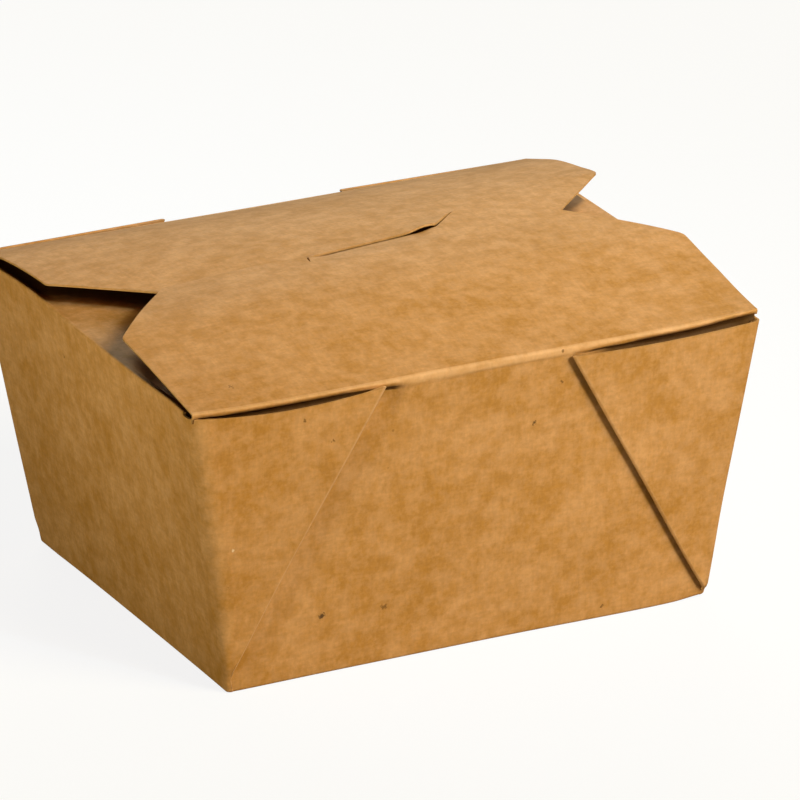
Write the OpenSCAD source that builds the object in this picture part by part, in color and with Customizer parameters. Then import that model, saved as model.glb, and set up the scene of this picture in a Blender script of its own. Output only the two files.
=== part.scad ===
/* [Carton] */
// Length of the rim, left to right, outside the folds
rim_length = 130; // [118:1:150]
// Width of the rim, front to back, outside the folds
rim_width = 113; // [100:1:130]
// Length of the base, left to right, outside the folds
base_length = 112; // [98:1:116]
// Width of the base, front to back, outside the folds
base_width = 97; // [84:1:99]
// Height of the rim folds above the table
rim_height = 64; // [50:1:80]
// How far the front rim fold stands above the other rim folds
front_fold_rise = 0.8; // [0:0.1:1.5]

/* [Board] */
// Thickness of the kraft board
board = 0.45; // [0.35:0.05:0.55]
// Outside radius of the folds round the base
base_fold = 0.6; // [0.5:0.1:0.9]
// Outside radius of the folds along the rim
rim_fold = 0.4; // [0.35:0.05:0.5]
// Air between the layers of a folded gusset
layer_gap = 0.1; // [0.05:0.05:0.2]
// Clearance between the front flap and everything it moves past
flap_clearance = 0.35; // [0.3:0.05:0.5]

/* [Gussets] */
// How far the front gussets end below the front rim fold at their inner tip
front_tip_drop = 1.1; // [1.1:0.1:3]
// How far the front gussets end below the front rim fold at the corner
front_corner_drop = 1.9; // [1.4:0.1:4]
// How far the rear gussets stand above the rim folds
rear_gusset_rise = 0.8; // [0:0.1:1.5]

/* [Lid flaps] */
// How far the front and rear flaps reach past the side walls at each end
flap_overhang = 0.4; // [0:0.1:1]
// Rise of the rear flap's crown above the rim folds
lid_rise = 8.4; // [6:0.2:12]
// Air between the rear flap and the front flap that lies over it
lid_gap = 0.5; // [0.4:0.1:1]
// Length of the front flap's straight side, from the rim fold
front_side = 34; // [26:1:40]
// Length of the rear flap's straight side, from the rim fold
rear_side = 37; // [28:1:42]
// How far each shoulder is cut back at the lid's middle line
shoulder_cut = 18; // [10:1:24]
// How far the rear flap runs on under the front flap
rear_overlap = 9; // [6:1:14]

/* [Tuck tab] */
// Distance from the middle of the lid to the left end of the slit
slit_left = 13.5; // [9:0.5:18]
// Distance from the middle of the lid to the turn in the slit
slit_turn = 18.3; // [12:0.1:22]
// Length of the slanting end of the slit, along the lid
slit_flare = 7.9; // [5:0.1:10]
// How far the slanting end of the slit runs back
flare_back = 7.5; // [4:0.1:9]
// How far behind the middle line the slit lies at its turn
slit_back = 3; // [2:0.1:5]
// How far in front of the middle line the slit lies at its left end
slit_front = 1; // [0:0.1:2]
// Angle round the rim fold that the tab reaches down through the slit
tab_angle = 7; // [4:0.5:8]
// Length of the cut that frees the tab's left end
relief_length = 7; // [3:0.5:9]
// Angle of that cut away from square to the rim fold
relief_lean = 20; // [0:1:30]

/* [Side flaps] */
// Depth of the side flaps, from their rim folds
side_flap_depth = 38; // [28:1:44]
// How far the side flaps' folds stop short of the rim's corners
side_flap_inset = 3.6; // [3.2:0.1:6]
// Angle of the side flaps' ends
side_flap_taper = 42; // [30:1:48]
// Upward slope of the side flaps
side_flap_slope = 6; // [0:1:9]
// Depth of the notch beside each rim corner
corner_notch = 1.2; // [0.9:0.1:2]

/* [Hidden] */
$fn = 48;
// Segments of the lid's shallow bend, which has a large radius
bend_fn = 200;
// Amount by which a round fold stands proud of the board's faces
fold_proud = 0.02;
// Room past the object that a cutting shape covers
spare = 5;

// Folds, as lines along the middle of the board
base_x = base_length / 2 - base_fold;
base_y = base_width / 2 - base_fold;
rim_x = rim_length / 2 - rim_fold;
rim_y = rim_width / 2 - rim_fold;
base_z = base_fold - board / 4;
wall_rise = rim_height - base_z;

// Outward lean of the walls, and their heights along the slope
front_lean = atan((rim_y - base_y) / wall_rise);
side_lean = atan((rim_x - base_x) / wall_rise);
front_slant = norm([rim_y - base_y, wall_rise]);
side_slant = norm([rim_x - base_x, wall_rise]);

// The web between two walls is halved by the gusset's fold when the corner is folded flat
front_splay = atan((rim_x - base_x) / front_slant);
side_splay = atan((rim_y - base_y) / side_slant);
web_half = (90 - front_splay - side_splay) / 2;
fold_lean = web_half - front_splay;
layer_pitch = board + layer_gap;
gusset_fold = layer_pitch / 2 + board / 2 + fold_proud;
corner_fold = layer_pitch + board / 2 + fold_proud;
corner_top = rim_height - corner_notch;

// The lid's flaps are bent along arcs that crown over the middle line
flap_x = rim_length / 2 + flap_overhang;
hinge_z = rim_height + front_fold_rise;
rear_rise = lid_rise;
front_rise = lid_rise - front_fold_rise + board + lid_gap;
slit_rise = rear_rise - front_fold_rise;
shoulder_x = flap_x - shoulder_cut;
chamfer_run = shoulder_cut / (rim_y - rear_side);
rear_edge_x = shoulder_x - rear_overlap * chamfer_run;

// The tab turns about the front rim fold inside the slit without touching it
slit_end = slit_turn + slit_flare;
tab_from = flap_clearance - slit_left;
tab_to = slit_turn - flap_clearance;
tab_spare = 1;
tab_top = atan(front_rise / rim_y) + tab_spare;

function bend_radius(rise) = (rim_y * rim_y + rise * rise) / (2 * rise);
function slit_y(x) = -slit_front + (slit_front + slit_back) * (x + slit_left) / (slit_turn + slit_left);
function slit_edge_radius(x) = norm([rim_y + slit_y(x), slit_rise - board]);
function tab_outside(x) = slit_edge_radius(x) - flap_clearance;
function tab_inside(x) = tab_outside(x) - board;
function reach(radius, height) = sqrt(radius * radius - height * height) - rim_y;
function slit_front_y(x) = reach(tab_inside(x) - flap_clearance, slit_rise + board);
function tab_fold_y(x) = reach(tab_outside(x), front_rise) - board / 4;

// A round bar of board along a fold from one point to another
module fold(from, to, radius) {
    run = to - from;
    translate(from)
        rotate([0, acos(run.z / norm(run)), atan2(run.y, run.x)])
            cylinder(h = norm(run), r = radius);
}

module sheet(outline) {
    linear_extrude(height = board, center = true) polygon(outline);
}

// Stands a drawing up in the plane of the front wall, its origin on the base fold
module in_front_wall() {
    translate([0, -base_y, base_z]) rotate([90 + front_lean, 0, 0]) children();
}

// Stands a drawing up in the plane of the left wall, its origin on the base fold
module in_left_wall() {
    rotate([0, 0, -90])
        translate([0, -base_x, base_z]) rotate([90 + side_lean, 0, 0]) children();
}

module left_and_right() {
    children();
    mirror([1, 0, 0]) children();
}

module front_wall(height) {
    top_x = base_x + height * tan(front_splay);
    in_front_wall() sheet([[-base_x, 0], [base_x, 0], [top_x, height], [-top_x, height]]);
}

// The side wall steps down beside each rim corner, where no flap is folded on it
module left_wall() {
    step = side_slant - corner_notch;
    step_y = base_y + step * tan(side_splay);
    hinge_y = rim_y - side_flap_inset;
    in_left_wall()
        sheet([
            [-base_y, 0], [base_y, 0], [step_y, step], [hinge_y, step],
            [hinge_y, side_slant], [-hinge_y, side_slant], [-hinge_y, step], [-step_y, step]
        ]);
}

// The left web of the front corner, folded in two and laid flat on the outside of the wall
module left_gusset(tip_drop, corner_drop) {
    past = front_slant + spare;
    fold_foot = [-base_x, 0, 1.5 * layer_pitch];
    fold_head = [-base_x + past * tan(fold_lean), past, 1.5 * layer_pitch];
    corner_x = -base_x - front_slant * tan(front_splay);
    tip_x = -base_x + front_slant * tan(fold_lean);
    in_front_wall()
        intersection() {
            union() {
                for (layer = [1, 2])
                    translate([0, 0, layer * layer_pitch])
                        sheet([
                            [-base_x, 0],
                            [-base_x - past * tan(front_splay), past],
                            [fold_head.x, past]
                        ]);
                fold(fold_foot, fold_head, gusset_fold);
            }
            translate([0, 0, -board])
                linear_extrude(height = 2 * corner_fold + 2 * board)
                    polygon([
                        [corner_x - spare, -spare],
                        [tip_x + spare, -spare],
                        [tip_x + spare, front_slant - tip_drop],
                        [tip_x, front_slant - tip_drop],
                        [corner_x, front_slant - corner_drop],
                        [corner_x - spare, front_slant - corner_drop]
                    ]);
        }
}

// The three layers and the side wall meet in one soft fold up the corner
module left_corner() {
    inward = corner_fold - board / 2 - fold_proud;
    foot = [-base_x + inward, -base_y - layer_pitch, base_z];
    head = [-rim_x + inward, -rim_y - layer_pitch, rim_height];
    short = (corner_top - base_z) / wall_rise;
    fold(foot, foot + short * (head - foot), corner_fold);
    translate(foot) sphere(r = corner_fold + fold_proud);
}

module base() {
    translate([-base_x, -base_y, -board]) cube([2 * base_x, 2 * base_y, 2 * board]);
    for (side = [-1, 1]) {
        fold([-base_x, side * base_y, base_z], [base_x, side * base_y, base_z], base_fold);
        fold([side * base_x, -base_y, base_z], [side * base_x, base_y, base_z], base_fold);
    }
}

// A side flap is tucked in first and springs up a little from its fold
module left_side_flap() {
    hinge_y = rim_y - side_flap_inset;
    edge_y = hinge_y - side_flap_depth * tan(side_flap_taper);
    fold_y = hinge_y + rim_fold;
    fold([-rim_x, -fold_y, rim_height], [-rim_x, fold_y, rim_height], rim_fold);
    translate([-rim_x, 0, rim_height])
        rotate([0, -side_flap_slope, 0])
            sheet([
                [0, -hinge_y], [side_flap_depth, -edge_y],
                [side_flap_depth, edge_y], [0, hinge_y]
            ]);
}

// The solid under a flap's bend, up to the middle of the bent board and by thicker more
module under_bend(fold_z, rise, thicker) {
    radius = bend_radius(rise);
    translate([-flap_x - spare, 0, fold_z + rise - radius])
        rotate([0, 90, 0])
            cylinder(h = 2 * (flap_x + spare), r = radius + thicker, $fn = bend_fn);
}

// A plan outline cut from board that is bent to crown over the middle line
module bent_flap(fold_z, rise) {
    intersection() {
        difference() {
            under_bend(fold_z, rise, board / 2);
            under_bend(fold_z, rise, -board / 2);
        }
        translate([0, 0, fold_z - board])
            linear_extrude(height = rise + 2 * board) children();
    }
}

module rear_outline() {
    polygon([
        [flap_x, rim_y], [flap_x, rim_y - rear_side], [rear_edge_x, -rear_overlap],
        [-rear_edge_x, -rear_overlap], [-flap_x, rim_y - rear_side], [-flap_x, rim_y]
    ]);
}

module slit_outline() {
    polygon([
        [-slit_left, slit_y(-slit_left)],
        [slit_turn, slit_y(slit_turn)],
        [slit_end, slit_back + flare_back],
        [slit_turn + flap_clearance, slit_front_y(slit_turn)],
        [-slit_left, slit_front_y(-slit_left)]
    ]);
}

module rear_flap() {
    bent_flap(rim_height, rear_rise)
        difference() {
            rear_outline();
            slit_outline();
        }
    fold([-flap_x, rim_y, rim_height], [flap_x, rim_y, rim_height], rim_fold);
}

module carton() {
    color("#b5793a")
        intersection() {
            union() {
                base();
                front_wall(front_slant + front_fold_rise - rim_fold - flap_clearance);
                mirror([0, 1, 0]) front_wall(front_slant);
                left_and_right() {
                    left_wall();
                    left_side_flap();
                    left_corner();
                    mirror([0, 1, 0]) left_corner();
                    left_gusset(front_tip_drop - front_fold_rise, front_corner_drop - front_fold_rise);
                    mirror([0, 1, 0]) left_gusset(-rear_gusset_rise, -rear_gusset_rise);
                }
                rear_flap();
            }
            translate([-rim_length, -rim_width, 0])
                cube([2 * rim_length, 2 * rim_width, 2 * rim_height]);
        }
}

module front_outline() {
    polygon([
        [-flap_x, -rim_y],
        [flap_x, -rim_y],
        [flap_x, front_side - rim_y],
        [shoulder_x, 0],
        [slit_end, slit_back + flare_back],
        [tab_to, tab_fold_y(tab_to)],
        [tab_from, tab_fold_y(tab_from)],
        [-shoulder_x, 0],
        [-flap_x, front_side - rim_y]
    ]);
}

// The cut beside the tab that lets it bend down
module relief() {
    translate([tab_from, tab_fold_y(tab_from)])
        rotate(-relief_lean)
            translate([-board, -relief_length]) square([board, relief_length + spare]);
}

// The tab hangs through the slit on a cone about the front rim fold
module tuck_tab() {
    intersection() {
        translate([0, -rim_y, hinge_z])
            rotate([90, 0, 90])
                rotate([0, 0, tab_top - tab_angle - tab_spare])
                    rotate_extrude(angle = tab_angle + tab_spare, $fn = bend_fn)
                        polygon([
                            [tab_inside(tab_from), tab_from],
                            [tab_outside(tab_from), tab_from],
                            [tab_outside(tab_to), tab_to],
                            [tab_inside(tab_to), tab_to]
                        ]);
        under_bend(hinge_z, front_rise, 0);
    }
}

module front_flap() {
    color("#c2853f") {
        bent_flap(hinge_z, front_rise)
            difference() {
                front_outline();
                relief();
            }
        tuck_tab();
        fold([-flap_x, -rim_y, hinge_z], [flap_x, -rim_y, hinge_z], rim_fold);
    }
}

carton();
front_flap();
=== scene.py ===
import math

import bpy
import numpy as np
from mathutils import Matrix, Vector
from mathutils.geometry import delaunay_2d_cdt


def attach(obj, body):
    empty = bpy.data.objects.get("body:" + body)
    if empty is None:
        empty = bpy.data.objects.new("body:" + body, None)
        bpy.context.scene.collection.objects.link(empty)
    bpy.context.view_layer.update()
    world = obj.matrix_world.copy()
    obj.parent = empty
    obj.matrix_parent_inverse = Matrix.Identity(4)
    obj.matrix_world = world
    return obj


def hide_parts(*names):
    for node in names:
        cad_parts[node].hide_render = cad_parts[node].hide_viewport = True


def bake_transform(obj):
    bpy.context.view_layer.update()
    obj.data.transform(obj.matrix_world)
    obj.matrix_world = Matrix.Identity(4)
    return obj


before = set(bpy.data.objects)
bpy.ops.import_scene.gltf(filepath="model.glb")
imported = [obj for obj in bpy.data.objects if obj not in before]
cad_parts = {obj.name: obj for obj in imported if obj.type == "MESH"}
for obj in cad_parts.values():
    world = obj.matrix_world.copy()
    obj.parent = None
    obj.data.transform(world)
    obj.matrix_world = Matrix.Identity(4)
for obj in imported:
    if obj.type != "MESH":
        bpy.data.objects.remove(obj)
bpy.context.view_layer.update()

# The board and the folds, in millimetres, as lines along the middle of the board
BOARD = 0.45
LAYER_AIR = 0.1
BASE_X, BASE_Y, BASE_Z = 56.1, 48.2, 0.6
RIM_X, RIM_Y, RIM_Z = 65.1, 56.1, 64.0
WALL_RISE = RIM_Z - BASE_Z
BASE_RADIUS = 0.42
CORNER_DROP = 0.05
SIDE_FOLD_END = 52.4
LID_HALF = 65.0
FRONT_FOLD, REAR_FOLD = -55.6, 55.35
FRONT_Z = 63.3
HINGE_Z = 64.8

# How far apart the points of a mesh are
BASE_STEP, LID_STEP, SIDE_STEP = 4.0, 1.7, 2.2
OUTLINE_STEP, SLIT_STEP = 1.6, 0.9
WELD = 0.0005

MILLIMETRE = 0.001
SHARP = math.radians(50)


def smooth(t):
    """0 up to t = 0, 1 from t = 1, and an easy rise between."""
    t = np.clip(t, 0.0, 1.0)
    return t * t * (3 - 2 * t)


def bump(t, low, high):
    """0 at low and at high, and 1 halfway between."""
    t = np.clip((t - low) / (high - low), 0.0, 1.0)
    return np.sin(np.pi * t) ** 0.8


class Spline:
    """A natural cubic through given values, which may be rows of values."""

    def __init__(self, knots, values):
        self.k, self.v = np.array(knots, float), np.array(values, float)
        h = np.diff(self.k)
        n = len(self.k)
        a, b = np.eye(n), np.zeros((n, n))
        for i in range(1, n - 1):
            a[i, i - 1:i + 2] = h[i - 1], 2 * (h[i - 1] + h[i]), h[i]
            b[i, i - 1:i + 2] = 6 / h[i - 1], -6 / h[i - 1] - 6 / h[i], 6 / h[i]
        self.bend = np.linalg.solve(a, b)
        self.m = self.bend @ self.v

    def place(self, x):
        """The stretch that x lies in, and the weights of the values and the bends at its two ends."""
        x = np.clip(np.asarray(x, float), self.k[0], self.k[-1])
        i = np.clip(np.searchsorted(self.k, x) - 1, 0, len(self.k) - 2)
        h = self.k[i + 1] - self.k[i]
        s, t = (self.k[i + 1] - x) / h, (x - self.k[i]) / h
        return i, s, t, (s ** 3 - s) * h * h / 6, (t ** 3 - t) * h * h / 6

    def __call__(self, x):
        i, *weights = self.place(x)
        s, t, u, w = (v.reshape(v.shape + (1,) * (self.v.ndim - 1)) for v in weights)
        return s * self.v[i] + t * self.v[i + 1] + u * self.m[i] + w * self.m[i + 1]


class Relief:
    """Heights over the plan, from a table with a row for each x that holds a height for each y."""

    def __init__(self, xs, ys, table):
        self.rows = Spline(ys, np.array(table, float).T)
        self.across = Spline(xs, xs)

    def __call__(self, x, y):
        x, y = np.broadcast_arrays(np.asarray(x, float), np.asarray(y, float))
        rows = self.rows(y.ravel())
        m = rows @ self.across.bend.T
        i, s, t, u, w = self.across.place(x.ravel())
        n = np.arange(len(i))
        out = s * rows[n, i] + t * rows[n, i + 1] + u * m[n, i] + w * m[n, i + 1]
        return out.reshape(x.shape)


# The board as a middle surface that is then given its thickness

class Sheet:
    """Points and faces; a point's mark is above 0 on a pale fold, its wear partly a painted highlight, and
    below 0 where shade is painted into a narrow gap.
    """

    def __init__(self):
        self.points, self.marks, self.faces = [], [], []

    def add(self, points, faces, marks=None):
        start = len(self.points)
        self.points += [tuple(p) for p in points]
        self.marks += [0.0] * len(points) if marks is None else [float(m) for m in marks]
        self.faces += [tuple(start + i for i in f) for f in faces]

    def grid(self, rows, closed=False, marks=None):
        """Add rows of points; seen from outside, each row runs to the right and the next lies above it."""
        n, m = rows.shape[:2]
        wide = m if closed else m - 1
        faces = [
            (i * m + j, i * m + (j + 1) % m, (i + 1) * m + (j + 1) % m, (i + 1) * m + j)
            for i in range(n - 1) for j in range(wide)
        ]
        if marks is not None:
            marks = np.broadcast_to(marks, (n, m)).ravel()
        self.add(rows.reshape(-1, 3), faces, marks)

    def welded(self):
        """The points with those at one place made one, their marks, and the faces."""
        points = np.array(self.points)
        keys = np.round(points / WELD).astype(np.int64)
        _, first, index = np.unique(keys, axis=0, return_index=True, return_inverse=True)
        index = index.ravel()
        # Pale fold marks and painted shade are kept apart while points at one place are made one
        pale_part, shade_part = np.zeros(len(first)), np.zeros(len(first))
        np.maximum.at(pale_part, index, np.array(self.marks))
        np.minimum.at(shade_part, index, np.array(self.marks))
        faces = []
        for f in self.faces:
            g = [int(index[i]) for i in f]
            g = [v for k, v in enumerate(g) if v != g[k - 1]]
            if len(set(g)) == len(g) and len(g) > 2:
                faces.append(tuple(g))
        return points[first], pale_part + shade_part, faces


def normals_of(points, faces):
    """The outward way at each point."""
    out = np.zeros_like(points)
    for f in faces:
        p = points[list(f)]
        n = np.zeros(3)
        for k in range(1, len(f) - 1):
            n += np.cross(p[k] - p[0], p[k + 1] - p[0])
        for i in f:
            out[i] += n
    size = np.linalg.norm(out, axis=1)
    return out / np.maximum(size, 1e-12)[:, None]


def open_edges(faces):
    """The edges that only one face has, in its direction."""
    edges = {}
    for f in faces:
        for a, b in zip(f, f[1:] + f[:1]):
            key = (min(a, b), max(a, b))
            edges[key] = None if key in edges else (a, b)
    return [e for e in edges.values() if e]


def place_object(name, data):
    obj = bpy.data.objects.new(name, data)
    bpy.context.scene.collection.objects.link(obj)
    return obj


def make_board(name, sheet, materials):
    """A closed solid of board round the sheet's middle surface, with its cut edges in the second material."""
    points, marks, faces = sheet.welded()
    n = normals_of(points, faces)
    count = len(points)
    both = np.concatenate([points + n * BOARD / 2, points - n * BOARD / 2])
    out = list(faces)
    out += [tuple(count + i for i in reversed(f)) for f in faces]
    out += [(b, a, count + a, count + b) for a, b in open_edges(faces)]
    mesh = bpy.data.meshes.new(name)
    mesh.from_pydata((both * MILLIMETRE).tolist(), [], out)
    for m in materials:
        mesh.materials.append(m)
    cut = np.zeros(len(out), np.int32)
    cut[2 * len(faces):] = 1
    mesh.polygons.foreach_set("material_index", cut)
    # The marks: pale fold wear, partly a painted highlight, and painted shade in gaps; the inner face keeps
    # only the pale part
    wear_and_painted_light = mesh.attributes.new("wear_and_painted_light", "FLOAT", "POINT")
    wear_and_painted_light.data.foreach_set("value", np.concatenate([marks, np.maximum(marks, 0)]).astype(np.float32))
    flat = mesh.attributes.new("board_place", "FLOAT_VECTOR", "POINT")
    flat.data.foreach_set("vector", (both * MILLIMETRE).astype(np.float32).ravel())
    mesh.shade_smooth()
    mesh.set_sharp_from_angle(angle=SHARP)
    return place_object(name, mesh)


def inside(point, outline):
    """Whether a point of the plan lies within the outline."""
    x, y = point
    odd = False
    for (x0, y0), (x1, y1) in zip(outline, outline[1:] + outline[:1]):
        if (y0 > y) != (y1 > y) and x < (x1 - x0) * (y - y0) / (y1 - y0) + x0:
            odd = not odd
    return odd


def clear_of(point, outline, room):
    """Whether a point of the plan lies further than room from the outline's sides."""
    p = np.array(point)
    a = np.array(outline)
    b = np.roll(a, -1, axis=0)
    d = b - a
    t = np.clip(((p - a) * d).sum(1) / np.maximum((d * d).sum(1), 1e-12), 0, 1)
    return np.linalg.norm(a + d * t[:, None] - p, axis=1).min() > room


def divided(outline, step):
    """The outline with points about a step apart along its sides."""
    out = []
    for (x0, y0), (x1, y1) in zip(outline, outline[1:] + outline[:1]):
        n = max(1, round(math.hypot(x1 - x0, y1 - y0) / step))
        out += [(x0 + (x1 - x0) * k / n, y0 + (y1 - y0) * k / n) for k in range(n)]
    return out


def side_points(a, b, step):
    """Points between two others, without either."""
    n = max(1, round(math.hypot(b[0] - a[0], b[1] - a[1]) / step))
    return [(a[0] + (b[0] - a[0]) * k / n, a[1] + (b[1] - a[1]) * k / n) for k in range(1, n)]


def rounded(before, stop, after):
    """Points of the round corner at a stop of (x, y, corner radius)."""
    here = np.array(stop[:2])
    a, b = np.array(before[:2]) - here, np.array(after[:2]) - here
    a, b = a / np.linalg.norm(a), b / np.linalg.norm(b)
    half = math.acos(float(np.clip(a @ b, -1, 1))) / 2
    cut = stop[2] / math.tan(half)
    start, end = here + a * cut, here + b * cut
    out = []
    for t in np.linspace(0, 1, 6):
        w = 2 * t * (1 - t) * math.sin(half)
        whole = (1 - t) ** 2 + w + t * t
        out.append(tuple(((1 - t) ** 2 * start + w * here + t * t * end) / whole))
    return out


def path(stops, step):
    """A line of points through stops of (x, y, corner radius), with both ends."""
    out = [stops[0][:2]]
    for before, stop, after in zip(stops, stops[1:], stops[2:]):
        corner = rounded(before, stop, after) if stop[2] > 0 else [stop[:2]]
        out += side_points(out[-1], corner[0], step) + corner
    last = stops[-1][:2]
    return out + side_points(out[-1], last, step) + [last]


def inner_points(outline, holes, step):
    """Points a step apart that fill the outline, clear of its sides and of its holes."""
    low, high = np.min(outline, axis=0), np.max(outline, axis=0)
    room = 0.4 * step
    out = []
    for i, x in enumerate(np.arange(low[0] + step / 2, high[0], step)):
        for y in np.arange(low[1] + step / 2 + (i % 2) * step / 2, high[1], step):
            p = (x, y)
            if inside(p, outline) and clear_of(p, outline, room):
                if not any(inside(p, h) or not clear_of(p, h, room) for h in holes):
                    out.append(p)
    return out


def plan_mesh(outline, holes, step):
    """Triangles that fill a plan outline round its holes, counter-clockwise seen from above."""
    points = list(outline)
    edges = []
    for h in holes:
        start = len(points)
        points += h
        edges += [(start + k, start + (k + 1) % len(h)) for k in range(len(h))]
    points += inner_points(outline, holes, step)
    found = delaunay_2d_cdt([Vector(p) for p in points], edges, [list(range(len(outline)))], 1, 1e-6)
    flat = [tuple(v) for v in found[0]]
    triangles = []
    for f in found[2]:
        p = np.array([flat[i] for i in f])
        if any(inside(tuple(p.mean(0)), h) for h in holes):
            continue
        a, b = p[1] - p[0], p[2] - p[0]
        triangles.append(tuple(f) if a[0] * b[1] - a[1] * b[0] > 0 else tuple(reversed(f)))
    return flat, triangles


def fold_curve(start, start_way, end, end_way, count, reach=0.39):
    """Points along a soft fold between two points, each a pair of coordinates with its direction."""
    p0, p3 = np.array(start, float), np.array(end, float)
    size = np.linalg.norm(p3 - p0) * reach
    d0, d3 = np.array(start_way, float), np.array(end_way, float)
    p1 = p0 + d0 / np.linalg.norm(d0) * size
    p2 = p3 - d3 / np.linalg.norm(d3) * size
    t = np.linspace(0, 1, count)[:, None]
    return (1 - t) ** 3 * p0 + 3 * t * (1 - t) ** 2 * p1 + 3 * t * t * (1 - t) * p2 + t ** 3 * p3


# Walls, gussets and base: one sheet that runs round the box

class Gusset:
    """A web folded in two on the outside of the front or rear wall.

    inner and outer say how wide its two folds stand open, and stand how far its inner fold stands off.
    foot and spread say where its width begins and how it grows upwards, and thicken at what width its
    folds are fully open. tip, corner and dip shape its upper edge. radius and low are the radius of the
    box's corner, above and at the foot.
    """

    def __init__(self, side, end, inner, outer, stand, foot, spread, tip, corner, dip, radius,
                 low=2.0, thicken=2.2):
        self.side, self.end = side, end
        self.inner, self.outer, self.stand = inner, outer, stand
        self.foot, self.spread, self.thicken = foot, spread, thicken
        self.tip, self.corner, self.dip = tip, corner, dip
        self.radius, self.low = radius, low

    def width(self, z):
        return np.maximum((z - self.foot) * self.spread, 0.0)


FRONT_RIGHT, FRONT_LEFT = (1, -1), (-1, -1)
GUSSETS = {
    FRONT_RIGHT: Gusset(1, -1, 0.60, 0.70, 0.45, 1.0, 0.698, 63.6, 63.95, 0.75, 1.6, 0.5, 1.3),
    FRONT_LEFT: Gusset(-1, -1, 0.50, 0.60, 0.05, 3.0, 0.712, 64.2, 64.0, 1.45, 3.6, 0.8),
    (1, 1): Gusset(1, 1, 0.55, 0.60, 0.15, 2.4, 0.710, 64.6, 64.4, 0, 1.5),
    (-1, 1): Gusset(-1, 1, 0.55, 0.60, 0.15, 2.4, 0.710, 64.8, 64.6, 0, 1.5),
}
# What share of its thickness a gusset has at its foot, and the least room between its folds
THIN_FOOT = 0.12
LEAST_GAP = 0.05
# How far a gusset's inner layer ends below its outer one, at the front and at the rear
INNER_DROP = {-1: 1.3, 1: 0.25}
# The heights at which the corner's radius, the inner fold's place and its stand reach their full values
RADIUS_RISE, PLACE_RISE, STAND_RISE = 24.0, 8.0, 50.0


def wall_line(z, base, rim):
    return base + np.clip((z - BASE_Z) / WALL_RISE, 0, 2) * (rim - base)


def segment(g, name, t, z):
    """Distance in from the corner and out from the wall, of a point of the sheet at each height."""
    x_half = wall_line(z, BASE_X, RIM_X)
    y_half = wall_line(z, BASE_Y, RIM_Y)
    width = g.width(z)
    k = THIN_FOOT + (1 - THIN_FOOT) * smooth(width / g.thicken)
    d1, d2 = g.inner * k, g.outer * k
    radius = g.low + (g.radius - g.low) * smooth(z / RADIUS_RISE)
    turn = np.arccos(1 - np.minimum(0.5 * (d1 + d2) / radius, 1))
    start = np.maximum((BOARD + LAYER_AIR) * k, radius * (1 - np.sin(turn))) + d1 / 2
    start = radius + (start - radius) * smooth(z / PLACE_RISE)
    stand = g.stand * k * (0.5 + 0.5 * np.clip(z / STAND_RISE, 0, 1))
    width = np.maximum(width, start + d2 / 2 + LEAST_GAP)
    if name == "wall":
        return x_half + t * (start - x_half), 0 * z
    if name == "turn":
        a = math.pi * (t - 0.5)
        return start - d1 / 2 * math.cos(a), d1 / 2 + d1 / 2 * math.sin(a)
    if name == "under":
        return start + t * (width - d2 / 2 - start), d1 + stand * t ** 2
    if name == "roll":
        a = math.pi * (t - 0.5)
        return width - d2 / 2 + d2 / 2 * math.cos(a), d1 + stand + d2 / 2 + d2 / 2 * math.sin(a)
    if name == "over":
        rest = np.maximum(width - d2 / 2, radius + LEAST_GAP)
        return rest + t * (radius - rest), d1 + d2 + stand * (1 - t) ** 2
    if name == "corner":
        a = t * math.pi / 2
        return radius - radius * math.sin(a) + 0 * z, d1 + d2 - radius + radius * math.cos(a)
    out = d1 + d2 - radius
    return 0 * z, out + t * (-y_half - out)


def side_steps(g):
    """Places along half a side wall, with two close together at the end of the flap's fold."""
    first = 1 - SIDE_FOLD_END / (RIM_Y + g.inner + g.outer - g.radius)
    return [first * 0.33, first * 0.66, first - 0.003, first] + list(np.linspace(first, 1, 26)[1:])


def columns_of(g):
    """The columns of a quarter of the ring, each the name of its stretch and its place along it."""
    counts = (("turn", 7), ("under", 14), ("roll", 9), ("over", 26), ("corner", 12))
    out = [("wall", t) for t in np.linspace(0, 1, 34)]
    for name, count in counts:
        # One more column close to the fold keeps the shading of the wide face even
        out += [("over", 0.012)] if name == "over" else []
        out += [(name, t) for t in np.linspace(0, 1, count)[1:]]
    return out + [("side", t) for t in side_steps(g)]


# How far the front wall's top stands above FRONT_Z, along x
FOLD_SAG = Spline(
    [-65, -57, -48, -36, -25, -14, 0, 25, 47, 65],
    [-0.25, -0.6, -0.7, -0.75, -0.55, -0.2, 0, 0, 0, 0],
)


def column_top(g, name, t):
    drop = INNER_DROP[g.end]
    if name == "wall":
        x = g.side * (1 - t) * RIM_X
        return RIM_Z if g.end > 0 else FRONT_Z + float(FOLD_SAG(x))
    if name == "turn":
        return g.corner - drop
    if name == "under":
        line = g.corner + (g.tip - g.corner) * t
        return line - drop * (1 - t ** 4) - g.dip * math.sin(math.pi * t) ** 0.8
    if name == "roll":
        return g.tip
    if name == "over":
        return g.tip + (g.corner - g.tip) * t - g.dip * math.sin(math.pi * t) ** 0.8
    if name == "corner":
        return g.corner + (RIM_Z - CORNER_DROP - g.corner) * smooth(t)
    return RIM_Z if t >= side_steps(g)[3] - 1e-9 else RIM_Z - CORNER_DROP


GAPE_LEFT, GAPE_RIGHT = 2.5, 3.0
GAPE_FROM = 52


def front_gape(x):
    """How far the front wall's top gives way inwards behind the two gussets."""
    left = bump(-x, 17.5, 70.0) ** 0.6 * smooth((67.0 + x) / 7.0)
    right = smooth((x - 21.0) / 25.0) * smooth((67.0 - x) / 5.0)
    return GAPE_LEFT * left + GAPE_RIGHT * right


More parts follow.
